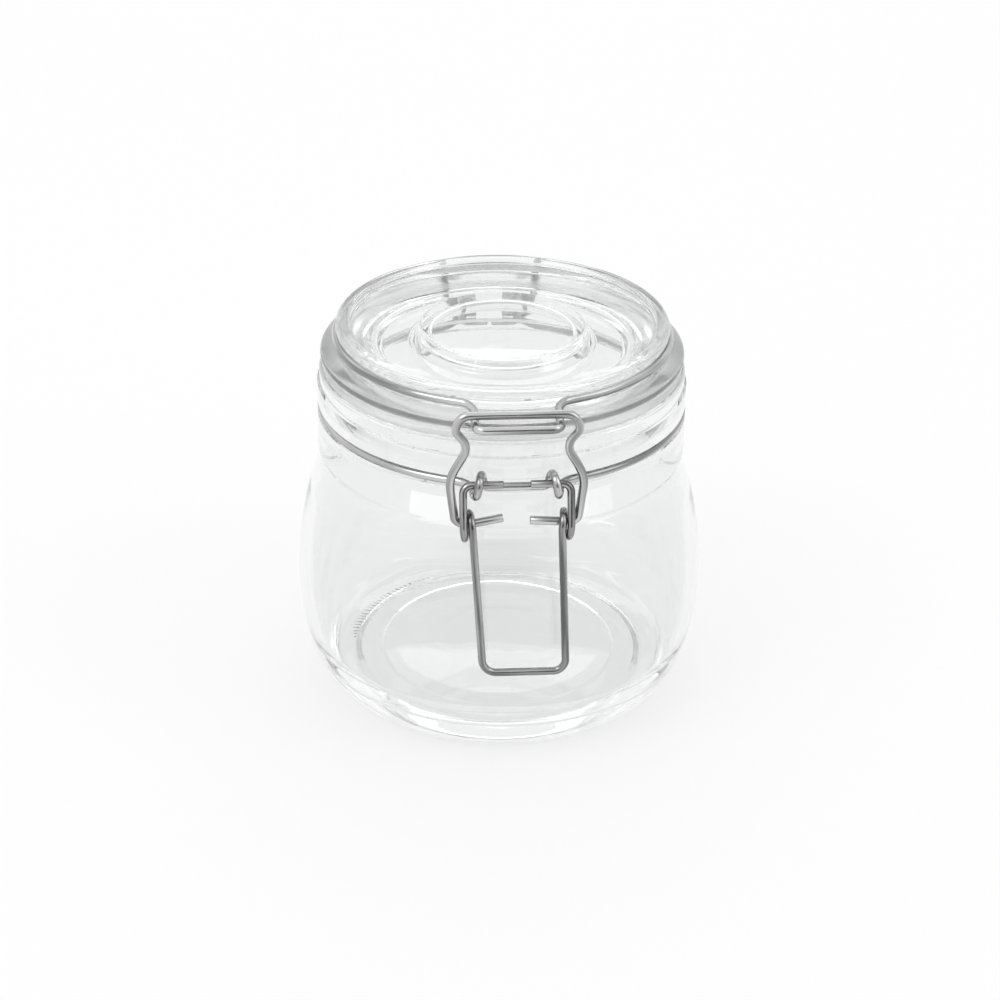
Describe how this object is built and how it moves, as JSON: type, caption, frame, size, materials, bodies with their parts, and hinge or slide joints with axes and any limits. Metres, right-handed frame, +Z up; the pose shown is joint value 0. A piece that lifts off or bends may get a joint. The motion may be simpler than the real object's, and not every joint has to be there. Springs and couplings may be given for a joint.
{
  "type": "bail clamp jar",
  "caption": "Squat round glass storage jar with a hinged glass lid, a silicone gasket and an over-centre wire bail clamp at the front.",
  "frame": {"origin": "on the jar's own axis, at the plane that it stands on, which is within a millimetre of the middle of the whole object's box", "axes": "+Z up along the jar's axis, -Y towards the clamp at the front, +Y towards the lid's hinge, X along the hinge pins"},
  "size_m": [0.11, 0.1141, 0.104],
  "materials": {
    "glass": "clear pressed glass, polished",
    "steel_wire": "bright drawn stainless wire with fine draw lines",
    "silicone": "translucent clear silicone, satin"
  },
  "bodies": {
    "jar": {"glass_jar": "glass", "neck_wire": "steel_wire"},
    "lid": {"glass_lid": "glass", "lid_gasket": "silicone", "lid_wire": "steel_wire"},
    "lever": {"clamp_lever": "steel_wire"},
    "bail": {"bail_wire": "steel_wire"}
  },
  "joints": [
    {"name": "lid_hinge", "type": "hinge", "parent": "jar", "child": "lid", "pos_m": [0, 0.0525, 0.0818], "axis": [-1, 0, 0], "range_deg": [0, 180]},
    {"name": "lever_hinge", "type": "hinge", "parent": "jar", "child": "lever", "pos_m": [0, -0.0523, 0.0818], "axis": [-1, 0, 0], "range_deg": [0, 140]},
    {"name": "bail_hinge", "type": "hinge", "parent": "lever", "child": "bail", "pos_m": [0, -0.05235, 0.0712], "axis": [1, 0, 0], "range_deg": [0, 154]}
  ],
  "couplings": [
    {"joint": "bail_hinge", "follows": "lever_hinge", "ratio": 1.1}
  ]
}
